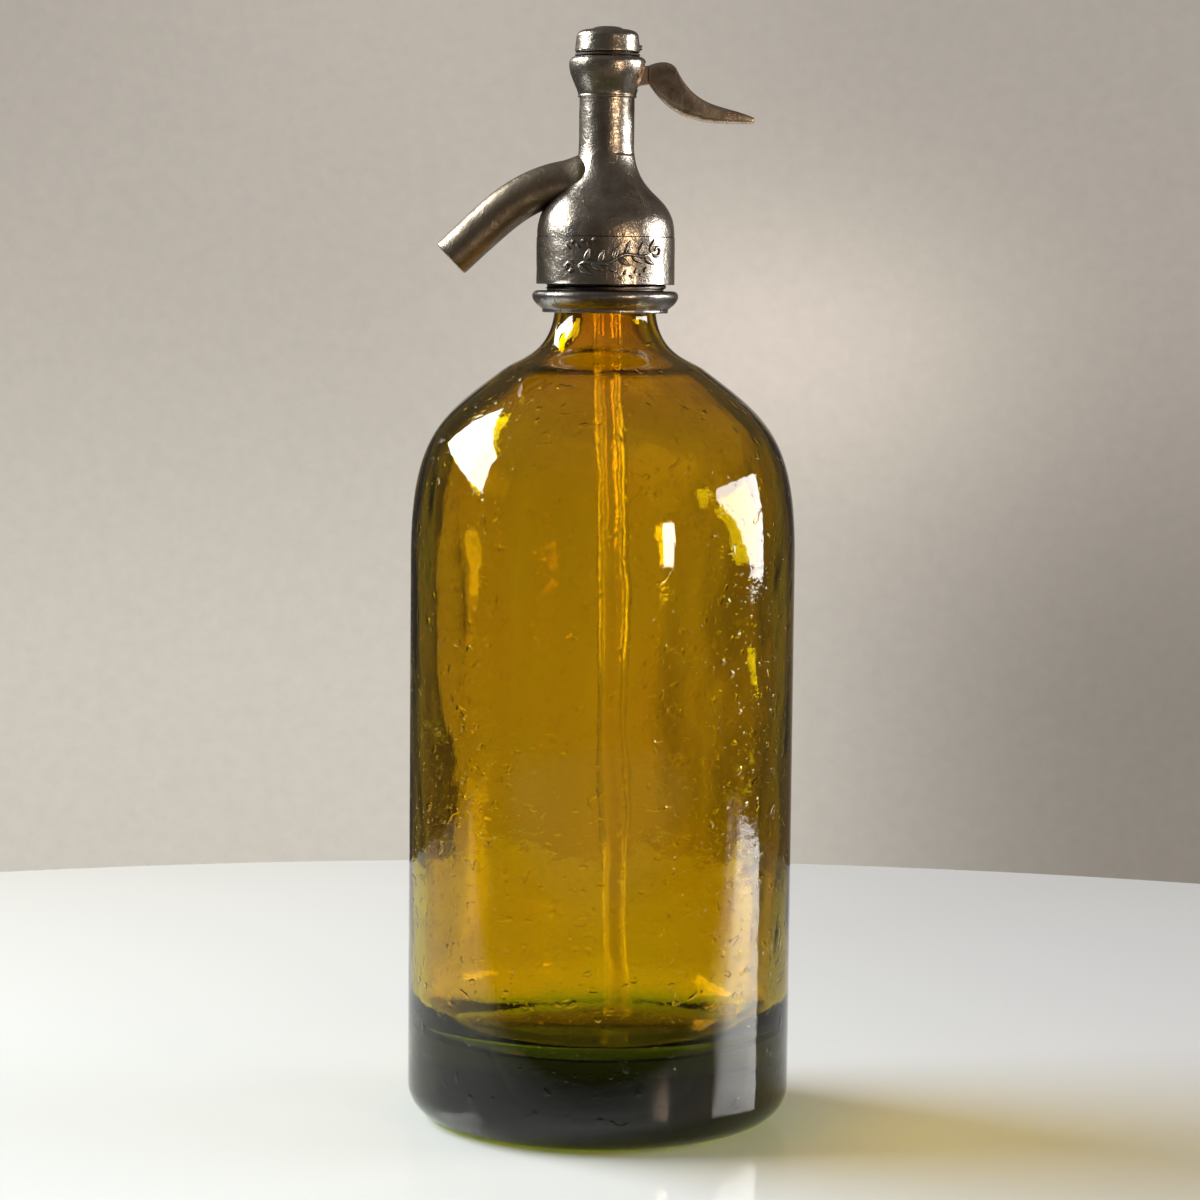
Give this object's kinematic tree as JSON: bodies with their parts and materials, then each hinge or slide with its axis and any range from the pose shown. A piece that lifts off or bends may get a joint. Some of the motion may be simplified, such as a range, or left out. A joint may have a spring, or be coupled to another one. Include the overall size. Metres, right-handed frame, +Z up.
{
  "type": "soda siphon",
  "caption": "Amber glass soda siphon with a cast metal head, a bent spout and a sprung thumb lever that lifts the valve stem.",
  "frame": {"origin": "on the bottle's axis at the level of the surface that it stands on", "axes": "+Z up along the bottle's axis, -X along the spout, +X along the lever, +Y completes a right-handed frame"},
  "size_m": [0.105, 0.105, 0.2978],
  "materials": {
    "amber_glass": "glossy amber glass, thick and darker towards the base",
    "tube_glass": "glossy pale glass",
    "pewter": "worn semi-gloss tin alloy with a brown patina",
    "lever_metal": "worn brown plated brass",
    "brass": "machined brass",
    "steel": "bare steel",
    "rubber": "matte black rubber",
    "leather": "greased leather"
  },
  "bodies": {
    "root": {"bottle": "amber_glass", "dip_tube": "tube_glass", "tube_bush": "rubber", "neck_gasket": "rubber", "collar_half_left": "pewter", "collar_half_right": "pewter", "head_body": "pewter", "spout": "pewter", "valve_seat": "brass", "packing_ring": "brass", "stem_packing": "leather", "gland_nut": "brass", "valve_spring": "steel", "top_cap": "pewter", "cap_lock_screw": "steel", "cap_washer": "leather", "fulcrum_pin": "steel"},
    "lever": {"lever": "lever_metal"},
    "valve": {"valve_washer": "rubber", "valve_holder": "brass", "valve_screw": "brass", "valve_stem": "brass", "stem_lifter": "brass", "spring_seat": "brass"}
  },
  "joints": [
    {"name": "lever_hinge", "type": "hinge", "parent": "root", "child": "lever", "pos_m": [0.006, 0, 0.2835], "axis": [0, 1, 0], "range_deg": [0, 15], "stiffness_Nm_per_rad": 0.3, "springref_deg": -28.65},
    {"name": "valve_lift", "type": "slide", "parent": "root", "child": "valve", "axis": [0, 0, 1], "range_m": [0, 0.0016], "deforming": ["valve_spring"]}
  ],
  "couplings": [
    {"joint": "valve_lift", "follows": "lever_hinge", "m_per_rad": 0.006}
  ]
}
